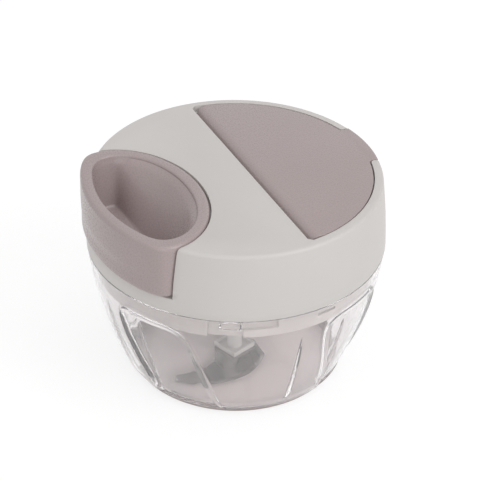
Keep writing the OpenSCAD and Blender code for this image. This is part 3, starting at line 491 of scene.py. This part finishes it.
def makeBowl():
    b = bowlShape
    footZ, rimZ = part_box("bowl")[0].z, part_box("bowl")[1].z
    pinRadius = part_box("spindle_pin")[1].x
    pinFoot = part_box("spindle_pin")[0].z
    floorZ = footZ + b["floor"]
    bossZ = floorZ + b["bossHeight"]
    rimR, lugR, hair = b["rimRound"], b["lugRound"], b["hair"]
    outer = [(bowlRadius(z), z) for z in spread(b["footHeight"], rimZ - rimR, b["outerRows"])]
    rimStart, rimStop = b["rimAngles"]
    rim = arc(bowlRadius(rimZ) - rimR, rimZ - rimR, rimR, rimStart, 90, b["rimSteps"])
    rim += arc(bowlRadius(rimZ) - b["wall"] + rimR, rimZ - rimR, rimR, 90, rimStop, b["rimSteps"])
    inner = [(bowlRadius(z) - b["wall"], z)
             for z in spread(rimZ - b["rimDrop"], floorZ + b["fillet"], b["innerRows"])]
    bendR = b["fillet"]
    bend = arc(inner[-1][0] - bendR, floorZ + bendR, bendR, *b["filletAngles"], b["filletSteps"])
    fillet = [(r - footTuck(z), z) for r, z in bend]
    floor = [(r, floorZ) for r in spread(fillet[-1][0], b["bossRadius"], b["floorRows"])[1:]]
    boss = [(b["bossRadius"], bossZ), (pinRadius, bossZ), (pinRadius, pinFoot), (0, pinFoot)]
    foot = [(0, footZ)]
    foot += [(bowlRadius(z) - b["footWall"], z) for z in (footZ, b["footHeight"])]
    bowl = spinPiece("clearBowl", foot + outer + rim + inner + fillet + floor + boss, b["sides"])
    finerEdges(bowl, floorZ)

    co = np.zeros(len(bowl.data.vertices) * 3)
    bowl.data.vertices.foreach_get("co", co)
    co = co.reshape(-1, 3)
    radius, turn, z = np.hypot(co[:, 0], co[:, 1]), np.arctan2(co[:, 1], co[:, 0]), co[:, 2]
    wallRadius = np.array([bowlRadius(h) for h in z])
    innerRadius = wallRadius - b["wall"]
    onOuter = (radius > wallRadius - b["wallFit"]) & (z > b["footHeight"] + hair) & (z < rimZ - rimR)
    onInner = (np.abs(radius - innerRadius) < b["wallFit"]) & (z > floorZ + b["fillet"] - 10 * hair)
    facesIn = (z > floorZ + hair) & (radius < innerRadius + b["wallFit"]) & (radius > fillet[-1][0] + hair)
    stepIn = b["panelStep"] * np.clip(1 - z / b["panelTop"], 0, 1)
    nearFloor = np.clip((z - floorZ) / b["fillet"], 0, 1)
    move = np.zeros(len(co))
    for i in range(b["panelCount"]):
        pitch = 2 * math.pi * i / b["panelCount"]
        a = turn - math.radians(b["panelTurn"]) - pitch
        inside = panelInside(wallRadius * np.sin(a), z)
        front = np.cos(a) > b["panelFront"]
        deep = ease(inside / b["panelEdge"]) * (b["panelDepth"] + stepIn)
        bead = b["panelBead"] * np.exp(-((inside + b["beadPlace"]) / b["beadWidth"]) ** 2)
        move += np.where(onOuter & front, bead - deep, 0)
        move -= np.where(facesIn & front, ease(inside / b["panelInnerEdge"]) * stepIn * nearFloor, 0)
        for finTurn in b["finTurns"]:
            a = turn - math.radians(finTurn) - pitch
            off = np.abs(wallRadius * np.sin(a))
            rise = np.clip((b["finTop"] - z) / (b["finTop"] - floorZ), 0, 1)
            wide = b["finWidth"] * (b["finTipShare"] + (1 - b["finTipShare"]) * rise)
            ridge = np.clip(1 - off / wide, 0, 1) * (np.cos(a) > 0)
            move -= np.where(onInner, ridge * b["finDepth"] * rise ** b["finPower"], 0)
    for i in range(b["lugCount"]):
        sideIn = (math.radians(b["lugHalfAngle"]) - np.abs(lugAngle(turn, i))) * wallRadius
        upIn = np.minimum(z - b["lugLow"], b["lugHigh"] - z)
        lugIn = lugR - np.hypot(np.maximum(lugR - sideIn, 0), np.maximum(lugR - upIn, 0))
        move -= np.where(onInner, ease(lugIn / b["lugEdge"] + 0.5) * b["lugReach"], 0)
    move += np.where(onOuter, wallRadius - radius, 0) + np.where(onInner, innerRadius - radius, 0)
    scale = 1 + move / np.maximum(radius, 1e-6)
    co[:, 0] *= scale
    co[:, 1] *= scale
    bowl.data.vertices.foreach_set("co", co.ravel())
    smooth(bowl, b["smooth"])
    finishPiece(bowl, "bowl", "clear_plastic", clearBowl, "bowl")


makeBowl()
print("bowl made")


# taupe pad round and under the bowl, edges rounded
padShape = {
    "footHeight": 0.0036, "footWall": 0.00155, "round": 0.0007, "roundSteps": 5, "boreEase": 0.00028,
    "lipEase": 0.00021, "wallRows": 4, "sides": 240, "smooth": 40,
}


def makeBaseRing():
    p = padShape
    bore = min(v.co.xy.length for v in nodes["base_ring"].data.vertices)
    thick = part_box("bowl")[0].z
    r = p["round"]
    edge = bowlRadius(0) - r
    section = [(bore, thick), (bore, p["boreEase"]), (bore + p["boreEase"], 0)]
    section += arc(edge, r, r, -90, 0, p["roundSteps"])
    section += [(bowlRadius(h), h) for h in spread(2 * r, p["footHeight"] - p["lipEase"], p["wallRows"])]
    section += [(bowlRadius(p["footHeight"]) - p["lipEase"], p["footHeight"])]
    section += [(bowlRadius(h) - p["footWall"], h) for h in (p["footHeight"], thick)]
    section += [(bore, thick)]
    ring = spinPiece("baseRing", section, p["sides"])
    smooth(ring, p["smooth"])
    finishPiece(ring, "bowl", "taupe_rubber", taupeRubber, "base_ring")


makeBaseRing()
print("base ring made")


# lid shell: the moulded shell with its edges eased
shellShape = {
    "ease": 0.00028, "segments": 2, "angle": 35, "smooth": 32,
    "recessRadius": 0.0591, "recessZ": 0.0912, "chordY": 0.0052, "tabAngle": 13.6,
    "tabRound": 0.0016, "cornerRound": 0.0024, "roundSteps": 6,
    "edgeReach": 0.0004, "edgeDrop": 0.0003, "edgeLength": 0.0008,
}


# rounds the upright edges of a recess at a place and at its mirror image
def roundUprights(piece, x, y, size):
    s = shellShape
    low = s["recessZ"] - s["edgeDrop"]
    pick(piece)
    bpy.ops.object.mode_set(mode="EDIT")
    bpy.ops.mesh.select_all(action="DESELECT")
    bpy.ops.mesh.select_mode(type="EDGE")
    work = bmesh.from_edit_mesh(piece.data)
    for e in work.edges:
        a, b = (v.co for v in e.verts)
        near = all(math.hypot(abs(q.x) - x, q.y - y) < s["edgeReach"] and q.z > low for q in (a, b))
        e.select_set(near and abs(a.z - b.z) > s["edgeLength"])
    bmesh.update_edit_mesh(piece.data)
    bpy.ops.mesh.bevel(offset=size, segments=s["roundSteps"], clamp_overlap=True)
    bpy.ops.mesh.select_mode(type="VERT")
    bpy.ops.object.mode_set(mode="OBJECT")


def makeLidShell():
    s = shellShape
    shell = copyOf("lid_shell", "lidShell")
    tab = math.radians(90 - s["tabAngle"])
    tabX, tabY = s["recessRadius"] * math.cos(tab), s["recessRadius"] * math.sin(tab)
    cornerX = math.sqrt(s["recessRadius"] ** 2 - s["chordY"] ** 2)
    roundUprights(shell, tabX, tabY, s["tabRound"])
    roundUprights(shell, cornerX, s["chordY"], s["cornerRound"])
    addModifier(shell, "BEVEL", width=s["ease"], segments=s["segments"], limit_method="ANGLE",
                angle_limit=math.radians(s["angle"]), use_clamp_overlap=True)
    smooth(shell, s["smooth"])
    finishPiece(shell, "lid", "grey_plastic", greyPlastic, "lid_shell")


makeLidShell()
print("lid shell made")


# pull handle: rings round one upright axis, up the outside and down the pocket;
# each is an ellipse cut by the curved front
handleShape = {
    "sides": 192, "corner": 14, "bayU": 0.0505, "bayA": 0.0331, "bayB": 0.042, "bayGap": 0.0007,
    "frontRadius": 0.074, "frontWall": 0.0052, "neckU": 0.0231, "footU": 0.0345, "blockHeight": 0.0077,
    "rimThick": 0.003, "rimRound": 0.0021, "lipRound": 0.0012, "footRound": 0.0014,
    "pocketU": 0.024, "pocketA": 0.0226, "pocketB": 0.0345, "floorU": 0.0436, "floorB": 0.029,
    "mouthCorner": 11, "floorCorner": 18, "floorThick": 0.0024, "floorRound": 0.0012, "wallRows": 14,
    "axisBack": 0.004, "backCosine": -0.01, "neckGap": 0.0006, "neckInset": 0.00005, "neckRise": 0.0004,
    "footSteps": 4, "blockRows": 3, "neckRows": 8, "rimSteps": 8, "lipSteps": 6, "floorSteps": 6,
    "startRadius": 0.01, "smooth": 40,
}


def makeHandle():
    h = handleShape
    low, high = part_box("pull_handle")
    frontU = -low.y
    frontC = frontU - h["frontRadius"]
    pullC = (h["bayU"] + frontU) / 2 - h["axisBack"]
    b = h["bayB"] - h["bayGap"]
    rimU = h["bayU"] - h["bayA"] + h["bayGap"]
    far = 1.0

    def reach(t, c, a, b):
        dv, du, e = math.sin(t) / b, math.cos(t) / a, (pullC - c) / a
        q, k = dv * dv + du * du, e * du
        return (-k + math.sqrt(k * k - q * (e * e - 1))) / q

    def outline(u0, c, b, front, n, backLine=-far):
        def radius(t):
            back = reach(t, c, c - u0, b)
            ahead = reach(t, frontC, front, front)
            behind = (backLine - pullC) / math.cos(t) if math.cos(t) < h["backCosine"] else far
            return (back ** -n + ahead ** -n + behind ** -n) ** (-1 / n)
        return radius

    def bodyRing(u0, inset=0.0):
        edge = outline(u0, h["bayU"], b, h["frontRadius"], h["corner"])
        return lambda t: edge(t) - inset

    innerFront = h["frontRadius"] - h["frontWall"]
    pocketC = h["pocketU"] + h["pocketA"]
    mouth = outline(h["pocketU"], pocketC, h["pocketB"], innerFront, h["mouthCorner"])
    bottom = outline(h["pocketU"], pocketC, h["floorB"], innerFront, h["floorCorner"], h["floorU"])

    def pocketRing(s, inset=0.0):
        return lambda t: mouth(t) * (1 - s) + bottom(t) * s - inset

    neckZ = high.z - h["rimThick"]
    blockZ = low.z + h["blockHeight"]
    floorZ = low.z + h["floorThick"]
    rimR, lipR, footR = h["rimRound"], h["lipRound"], h["footRound"]
    rings = [(bodyRing(h["footU"], footR * (1 - math.sin(a))), low.z + footR * (1 - math.cos(a)))
             for a in spread(0, math.pi / 2, h["footSteps"])]
    rings += [(bodyRing(h["footU"]), z) for z in spread(low.z + footR, blockZ, h["blockRows"])[1:]]
    for s in spread(0, 1, h["neckRows"])[1:]:
        u0 = h["footU"] + (h["neckU"] - h["footU"]) * s
        rings.append((bodyRing(u0), blockZ + (neckZ - h["neckGap"] - blockZ) * s))
    rings += [(bodyRing(rimU, h["neckInset"]), neckZ), (bodyRing(rimU), neckZ + h["neckRise"])]
    rings += [(bodyRing(rimU, rimR * (1 - math.cos(a))), high.z - rimR * (1 - math.sin(a)))
              for a in spread(0, math.pi / 2, h["rimSteps"])]
    rings += [(pocketRing(0, -lipR * (1 - math.sin(a))), high.z - lipR * (1 - math.cos(a)))
              for a in spread(0, math.pi / 2, h["lipSteps"])]
    depth = high.z - floorZ
    floorR = h["floorRound"]
    for z in spread(high.z - lipR, floorZ + floorR, h["wallRows"])[1:]:
        rings.append((pocketRing((high.z - z) / depth), z))
    for a in spread(0, math.pi / 2, h["floorSteps"])[1:]:
        z = floorZ + floorR * (1 - math.sin(a))
        rings.append((pocketRing((high.z - z) / depth, floorR * (1 - math.cos(a))), z))

    freshStart()
    bpy.ops.mesh.primitive_circle_add(vertices=h["sides"], radius=h["startRadius"], fill_type="NGON",
                                      location=(0, -pullC, low.z))
    handle = bpy.context.object
    handle.name = "pullHandle"
    bpy.ops.object.transform_apply(location=True)
    bpy.ops.object.mode_set(mode="EDIT")
    bpy.ops.mesh.select_all(action="SELECT")

    def shapeRing(radius, z):
        work = bmesh.from_edit_mesh(handle.data)
        for v in work.verts:
            if v.select:
                t = math.atan2(v.co.x, -v.co.y - pullC)
                m = radius(t)
                v.co = (m * math.sin(t), -(pullC + m * math.cos(t)), z)
        bmesh.update_edit_mesh(handle.data)

    shapeRing(*rings[0])
    bpy.ops.mesh.select_mode(type="EDGE")
    for radius, z in rings[1:]:
        bpy.ops.mesh.extrude_edges_move()
        shapeRing(radius, z)
    bpy.ops.mesh.edge_face_add()
    bpy.ops.mesh.select_mode(type="VERT")
    tidyNormals()
    smooth(handle, h["smooth"])
    finishPiece(handle, "handle", "taupe_plastic", taupePlastic, "pull_handle")


makeHandle()
print("handle made")


# half-moon flap: flat cover, straight edge rolled down round the hinge, thumb tab at the rim
flapShape = {
    "radius": 0.0585, "chordY": 0.0064, "roll": 0.0045, "thick": 0.0026, "endGap": 0.0005,
    "cornerRound": 0.003, "tabAngle": 13.0, "tabRadius": 0.0625, "tabRound": 0.0016,
    "edge": 0.0005, "edgeSteps": 3, "edgeAngle": 50, "hingeReach": 0.0008, "smooth": 40,
    "rollRows": 12, "arcSteps": 44, "notchSteps": 6, "tipSteps": 8,
    "knuckleSpots": (-0.8, 0, 0.8), "knuckleWidth": 0.006, "knuckleRadius": 0.0035, "knuckleSides": 48,
    "pinFit": 0.00005,
}


# eyes round the hinge pin, joined to the flap's underside
def addKnuckles(flap, endX, hingeY, hingeZ):
    f = flapShape
    pinLow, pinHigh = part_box("flap_hinge_pin")
    bore = (pinHigh.z - pinLow.z) / 2 + f["pinFit"]
    outer, wide = f["knuckleRadius"], f["knuckleWidth"] / 2
    section = [(bore, -wide), (outer, -wide), (outer, wide), (bore, wide), (bore, -wide)]
    for spot in f["knuckleSpots"]:
        knuckle = spinPiece("knuckle", section, f["knuckleSides"])
        knuckle.rotation_euler = (0, math.pi / 2, 0)
        knuckle.location = (spot * endX, hingeY, hingeZ)
        pick(knuckle)
        bpy.ops.object.transform_apply(location=True, rotation=True, scale=False)
        addModifier(flap, "BOOLEAN", object=knuckle, operation="UNION", solver="EXACT")
        bpy.data.objects.remove(knuckle)


def makeFlap():
    f = flapShape
    hingeY, hingeZ = f["chordY"] + f["roll"], topZ - f["roll"]
    half = math.sqrt(f["radius"] ** 2 - hingeY ** 2)
    endX = half - f["endGap"]
    startA = math.degrees(math.atan2(hingeY, half))
    tabA = 90 - f["tabAngle"]
    tr = f["tabRound"]
    notch = math.degrees(tr / f["radius"])
    right = [(min(x, endX), y) for x, y in arc(0, 0, f["radius"], startA, tabA - notch, f["arcSteps"])]
    corner = []
    for s in spread(0, 1, f["notchSteps"])[1:]:
        a = math.radians(tabA - notch * (1 - math.sin(s * math.pi / 2)))
        r = f["radius"] + tr * (1 - math.cos(s * math.pi / 2))
        corner.append((r * math.cos(a), r * math.sin(a)))
    tip = arc(0, 0, f["tabRadius"], tabA, 90, f["tipSteps"])
    rightSide = right + corner + tip
    outline = rightSide + [(-x, y) for x, y in reversed(rightSide[:-1])]

    freshStart()
    bpy.ops.mesh.primitive_circle_add(vertices=len(outline), radius=f["radius"], fill_type="NGON")
    flap = bpy.context.object
    flap.name = "fillFlap"
    for v, (x, y) in zip(flap.data.vertices, outline):
        v.co = (x, y, topZ)
    bpy.ops.object.mode_set(mode="EDIT")
    bpy.ops.mesh.select_all(action="DESELECT")
    bpy.ops.mesh.select_mode(type="EDGE")
    work = bmesh.from_edit_mesh(flap.data)
    for e in work.edges:
        atHinge = all(v.co.y < hingeY + f["hingeReach"] for v in e.verts)
        e.select_set(atHinge and e.calc_length() > half)
    bmesh.update_edit_mesh(flap.data)
    for i in range(1, f["rollRows"] + 1):
        bend = math.pi / 2 * i / f["rollRows"]
        bpy.ops.mesh.extrude_edges_move()
        work = bmesh.from_edit_mesh(flap.data)
        y = hingeY - f["roll"] * math.sin(bend)
        over = max(0.0, 1 - (y - f["chordY"]) / f["cornerRound"])
        x = endX - f["cornerRound"] * (1 - math.sqrt(1 - over * over))
        for v in work.verts:
            if v.select:
                v.co = (math.copysign(x, v.co.x), y, hingeZ + f["roll"] * math.cos(bend))
        bmesh.update_edit_mesh(flap.data)
    bpy.ops.mesh.select_mode(type="VERT")
    tidyNormals()
    addModifier(flap, "SOLIDIFY", thickness=f["thick"], offset=-1, use_even_offset=True)
    addModifier(flap, "BEVEL", width=f["edge"], segments=f["edgeSteps"], limit_method="ANGLE",
                angle_limit=math.radians(f["edgeAngle"]))
    addKnuckles(flap, endX, hingeY, hingeZ)
    smooth(flap, f["smooth"])
    finishPiece(flap, "flap", "taupe_plastic", taupePlastic, "fill_flap")


makeFlap()
print("flap made")


# moulded pieces under the lid and in the bowl, with their edges eased
easedPieces = [
    {"node": "lid_base", "name": "lidBase", "body": "lid", "slot": "grey_plastic",
     "ease": 0.0003, "steps": 2, "angle": 40, "smooth": 32},
    {"node": "blade_hub", "name": "bladeHub", "body": "blades", "slot": "hub_plastic",
     "ease": 0.0002, "steps": 2, "angle": 40, "smooth": 35},
]


def makeEasedPieces():
    for p in easedPieces:
        piece = copyOf(p["node"], p["name"])
        addModifier(piece, "BEVEL", width=p["ease"], segments=p["steps"], limit_method="ANGLE",
                    angle_limit=math.radians(p["angle"]), use_clamp_overlap=True)
        smooth(piece, p["smooth"])
        finishPiece(piece, p["body"], p["slot"], slotFinish[p["slot"]], p["node"])


makeEasedPieces()
print("lid base and hub made")


# sickle blades: the outer edge ground to a thin bevel, the corners eased
bladeShape = {
    "heel": 0.015, "reach": 0.037, "heelTurn": 40, "sweep": 110, "curve": 1.6, "ground": 0.0016,
    "endMargin": 0.02, "topBand": 0.0002, "edgeBand": 0.0006,
    "ease": 0.0001, "easeSteps": 2, "easeAngle": 50, "smooth": 25,
}


def makeBlade(node, name, turn):
    b = bladeShape
    blade = copyOf(node, name)
    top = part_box(node)[1].z
    for v in blade.data.vertices:
        r = math.hypot(v.co.x, v.co.y)
        a = math.degrees(math.atan2(v.co.y, v.co.x)) - turn
        a = (a + 180) % 360 - 180
        s = (b["heelTurn"] - a) / b["sweep"]
        if b["endMargin"] < s < 1 + b["endMargin"] and v.co.z > top - b["topBand"]:
            edge = b["heel"] + (b["reach"] - b["heel"]) * s ** b["curve"]
            if abs(r - edge) < b["edgeBand"]:
                v.co.x *= (r - b["ground"]) / r
                v.co.y *= (r - b["ground"]) / r
    addModifier(blade, "BEVEL", width=b["ease"], segments=b["easeSteps"], limit_method="ANGLE",
                angle_limit=math.radians(b["easeAngle"]), use_clamp_overlap=True)
    smooth(blade, b["smooth"])
    finishPiece(blade, "blades", "blade_steel", bladeSteel, node)


makeBlade("lower_blade", "lowerBlade", 0)
makeBlade("upper_blade", "upperBlade", 180)
print("blades made")


# braided cord: turns on the drum, run to the eyelet, run to the handle, and its knot
cordShape = {
    "radius": 0.0007, "drum": 0.0189, "leaveTurn": 218.15, "turns": 3, "turnSteps": 40, "levelRun": 0.0083,
    "levelSteps": 4, "leadEnd": 0.95, "leadSteps": 8, "pullRows": 24, "roundSteps": 3, "smooth": 60,
    "knotLoop": 0.00030, "knotLong": 1.6, "knotThread": 0.00058, "knotSteps": 72,
}


def makeTube(name, points, radius, closed=False):
    freshStart()
    path = bpy.data.curves.new(name, "CURVE")
    path.dimensions = "3D"
    path.bevel_depth = radius
    path.bevel_resolution = cordShape["roundSteps"]
    path.use_fill_caps = not closed
    run = path.splines.new("POLY")
    run.points.add(len(points) - 1)
    for spot, q in zip(run.points, points):
        spot.co = (*q, 1)
    run.use_cyclic_u = closed
    tube = bpy.data.objects.new(name, path)
    bpy.context.scene.collection.objects.link(tube)
    pick(tube)
    bpy.ops.object.convert(target="MESH")
    tube = bpy.context.object
    smooth(tube, cordShape["smooth"])
    return tube


def makeCord():
    c = cordShape
    r = c["radius"]
    leave = math.radians(c["leaveTurn"])
    low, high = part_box("cord_winding")
    steps = c["turns"] * c["turnSteps"]
    turns = [(c["drum"] * math.cos(leave - 2 * math.pi * c["turns"] * s),
              c["drum"] * math.sin(leave - 2 * math.pi * c["turns"] * s),
              low.z + r + (high.z - low.z - 2 * r) * s) for s in spread(0, 1, steps)]
    winding = makeTube("cordWinding", turns, r)
    finishPiece(winding, "spool", "cord", cordFibre, "cord_winding")

    pullLow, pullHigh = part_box("pull_cord")
    cordZ = (pullLow.z + pullHigh.z) / 2
    start = Vector((c["drum"] * math.cos(leave), c["drum"] * math.sin(leave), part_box("cord_lead")[0].z + r))
    end = Vector((0, pullHigh.y, cordZ))
    flat = Vector((end.x - start.x, end.y - start.y, 0)).normalized()
    bend = start + flat * c["levelRun"]
    lead = [start + (bend - start) * s for s in spread(0, 1, c["levelSteps"])]
    lead += [bend + (end - bend) * s * c["leadEnd"] for s in spread(0, 1, c["leadSteps"])[1:]]
    run = makeTube("cordLead", lead, r)
    finishPiece(run, "lid", "cord", cordFibre, "cord_lead")

    pull = makeTube("pullCord", [(0, y, cordZ) for y in spread(pullHigh.y, pullLow.y, c["pullRows"])], r)
    pull.data.materials.clear()
    pull.data.materials.append(cordFibre)
    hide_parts("pull_cord")
    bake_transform(pull)

    knotLow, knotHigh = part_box("cord_knot")
    middle = (knotLow + knotHigh) / 2
    loop = []
    for t in spread(0, 2 * math.pi, c["knotSteps"])[:-1]:
        k = c["knotLoop"]
        loop.append((middle.x + k * (math.sin(t) + 2 * math.sin(2 * t)),
                     middle.y + k * c["knotLong"] * -math.sin(3 * t),
                     middle.z + k * (math.cos(t) - 2 * math.cos(2 * t))))
    knot = makeTube("cordKnot", loop, c["knotThread"], closed=True)
    finishPiece(knot, "handle", "cord", cordFibre, "cord_knot")


makeCord()
print("cord made")


# return spring: the coil turns with the drum, the tab at its inner end stays in the arbor's slot
springShape = {
    "thick": 0.0005, "turns": 6, "turnSteps": 40, "arborGap": 0.0003, "tabStart": 0.001, "tabGap": 0.00015,
    "ease": 0.00008, "easeSteps": 2, "smooth": 40,
}


def makeSpring():
    s = springShape
    low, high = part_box("power_spring")
    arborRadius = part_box("spring_arbor")[1].x
    inner = arborRadius + s["arborGap"] + s["thick"] / 2
    outer = high.x - s["thick"] / 2
    tall = high.z - low.z
    line = []
    for t in spread(0, 1, s["turns"] * s["turnSteps"]):
        r, a = inner + (outer - inner) * t, 2 * math.pi * s["turns"] * t
        line.append((r * math.cos(a), r * math.sin(a), low.z))
    coil = drawLine("springCoil", line)
    bpy.ops.mesh.extrude_region_move(TRANSFORM_OT_translate={"value": (0, 0, tall)})
    tidyNormals()
    addModifier(coil, "SOLIDIFY", thickness=s["thick"], offset=0)
    smooth(coil, s["smooth"])
    finishPiece(coil, "spool", "spring_steel", springSteel, "power_spring")

    tabEnd = arborRadius + s["tabGap"]
    freshStart()
    bpy.ops.mesh.primitive_cube_add(size=1, location=((s["tabStart"] + tabEnd) / 2, 0, (low.z + high.z) / 2),
                                    scale=(tabEnd - s["tabStart"], s["thick"], tall))
    tab = bpy.context.object
    tab.name = "springTab"
    bpy.ops.object.transform_apply(location=True, rotation=False, scale=True)
    addModifier(tab, "BEVEL", width=s["ease"], segments=s["easeSteps"])
    smooth(tab, s["smooth"])
    finishPiece(tab, "lid", "spring_steel", springSteel)


makeSpring()
print("spring made")


# stage: pale floor, white surround and soft studio light
stageLook = {
    "floorSize": 6.0, "floorColour": (0.93, 0.93, 0.93), "floorGlow": 1.13, "glowShare": 0.7,
    "floorDrop": 0.0001, "surround": 0.50, "lampAim": (0, 0, 0.05),
    "lamps": [
        {"name": "keyLamp", "place": (1.6, 1.0, 1.5), "size": 1.4, "power": 15.5},
        {"name": "fillLamp", "place": (-0.3, -1.4, 1.3), "size": 1.6, "power": 2.0},
        {"name": "topLamp", "place": (0.2, 0.3, 2.2), "size": 1.6, "power": 7.0},
        {"name": "frontLamp", "place": (1.6, -0.9, 0.8), "size": 1.4, "power": 5.5},
    ],
}


# 1 where the eye, a reflection or a clear piece looks at something, 0 where it only lights
def lookedAt(tree, links):
    path = tree.new("ShaderNodeLightPath")
    total = path.outputs["Is Camera Ray"]
    for kind in ("Is Glossy Ray", "Is Transmission Ray"):
        add = tree.new("ShaderNodeMath")
        add.operation = "ADD"
        add.use_clamp = True
        links.new(total, add.inputs[0])
        links.new(path.outputs[kind], add.inputs[1])
        total = add.outputs[0]
    return total


def makeStage():
    s = stageLook
    freshStart()
    bpy.ops.mesh.primitive_plane_add(size=s["floorSize"], location=(0, 0, -s["floorDrop"]))
    floor = bpy.context.object
    floor.name = "stageFloor"
    finish, tree, links = newFinish("paleFloor")
    tree.remove(tree["Principled BSDF"])
    matt = tree.new("ShaderNodeBsdfDiffuse")
    matt.inputs["Color"].default_value = (*s["floorColour"], 1)
    glow = tree.new("ShaderNodeEmission")
    glow.inputs["Color"].default_value = (1, 1, 1, 1)
    glow.inputs["Strength"].default_value = s["floorGlow"]
    share = tree.new("ShaderNodeMath")
    share.operation = "MULTIPLY"
    share.inputs[1].default_value = s["glowShare"]
    mix = tree.new("ShaderNodeMixShader")
    links.new(lookedAt(tree, links), share.inputs[0])
    links.new(share.outputs[0], mix.inputs["Fac"])
    links.new(matt.outputs["BSDF"], mix.inputs[1])
    links.new(glow.outputs["Emission"], mix.inputs[2])
    links.new(mix.outputs["Shader"], tree["Material Output"].inputs["Surface"])
    floor.data.materials.append(finish)

    world = bpy.data.worlds.new("paleSurround")
    bpy.context.scene.world = world
    world.use_nodes = True
    tree, links = world.node_tree.nodes, world.node_tree.links
    light = tree["Background"]
    light.inputs["Color"].default_value = (1, 1, 1, 1)
    light.inputs["Strength"].default_value = s["surround"]
    shown = tree.new("ShaderNodeBackground")
    shown.inputs["Color"].default_value = (1, 1, 1, 1)
    shown.inputs["Strength"].default_value = 1.0
    mix = tree.new("ShaderNodeMixShader")
    links.new(lookedAt(tree, links), mix.inputs["Fac"])
    links.new(light.outputs["Background"], mix.inputs[1])
    links.new(shown.outputs["Background"], mix.inputs[2])
    links.new(mix.outputs["Shader"], tree["World Output"].inputs["Surface"])

    for lamp in s["lamps"]:
        data = bpy.data.lights.new(lamp["name"], "AREA")
        data.shape = "DISK"
        data.size = lamp["size"]
        data.energy = lamp["power"]
        lampObject = bpy.data.objects.new(lamp["name"], data)
        bpy.context.scene.collection.objects.link(lampObject)
        lampObject.location = lamp["place"]
        aim = Vector(s["lampAim"]) - Vector(lamp["place"])
        lampObject.rotation_euler = aim.to_track_quat("-Z", "Y").to_euler()


makeStage()
bpy.context.scene.view_settings.view_transform = "Standard"
print("stage set")
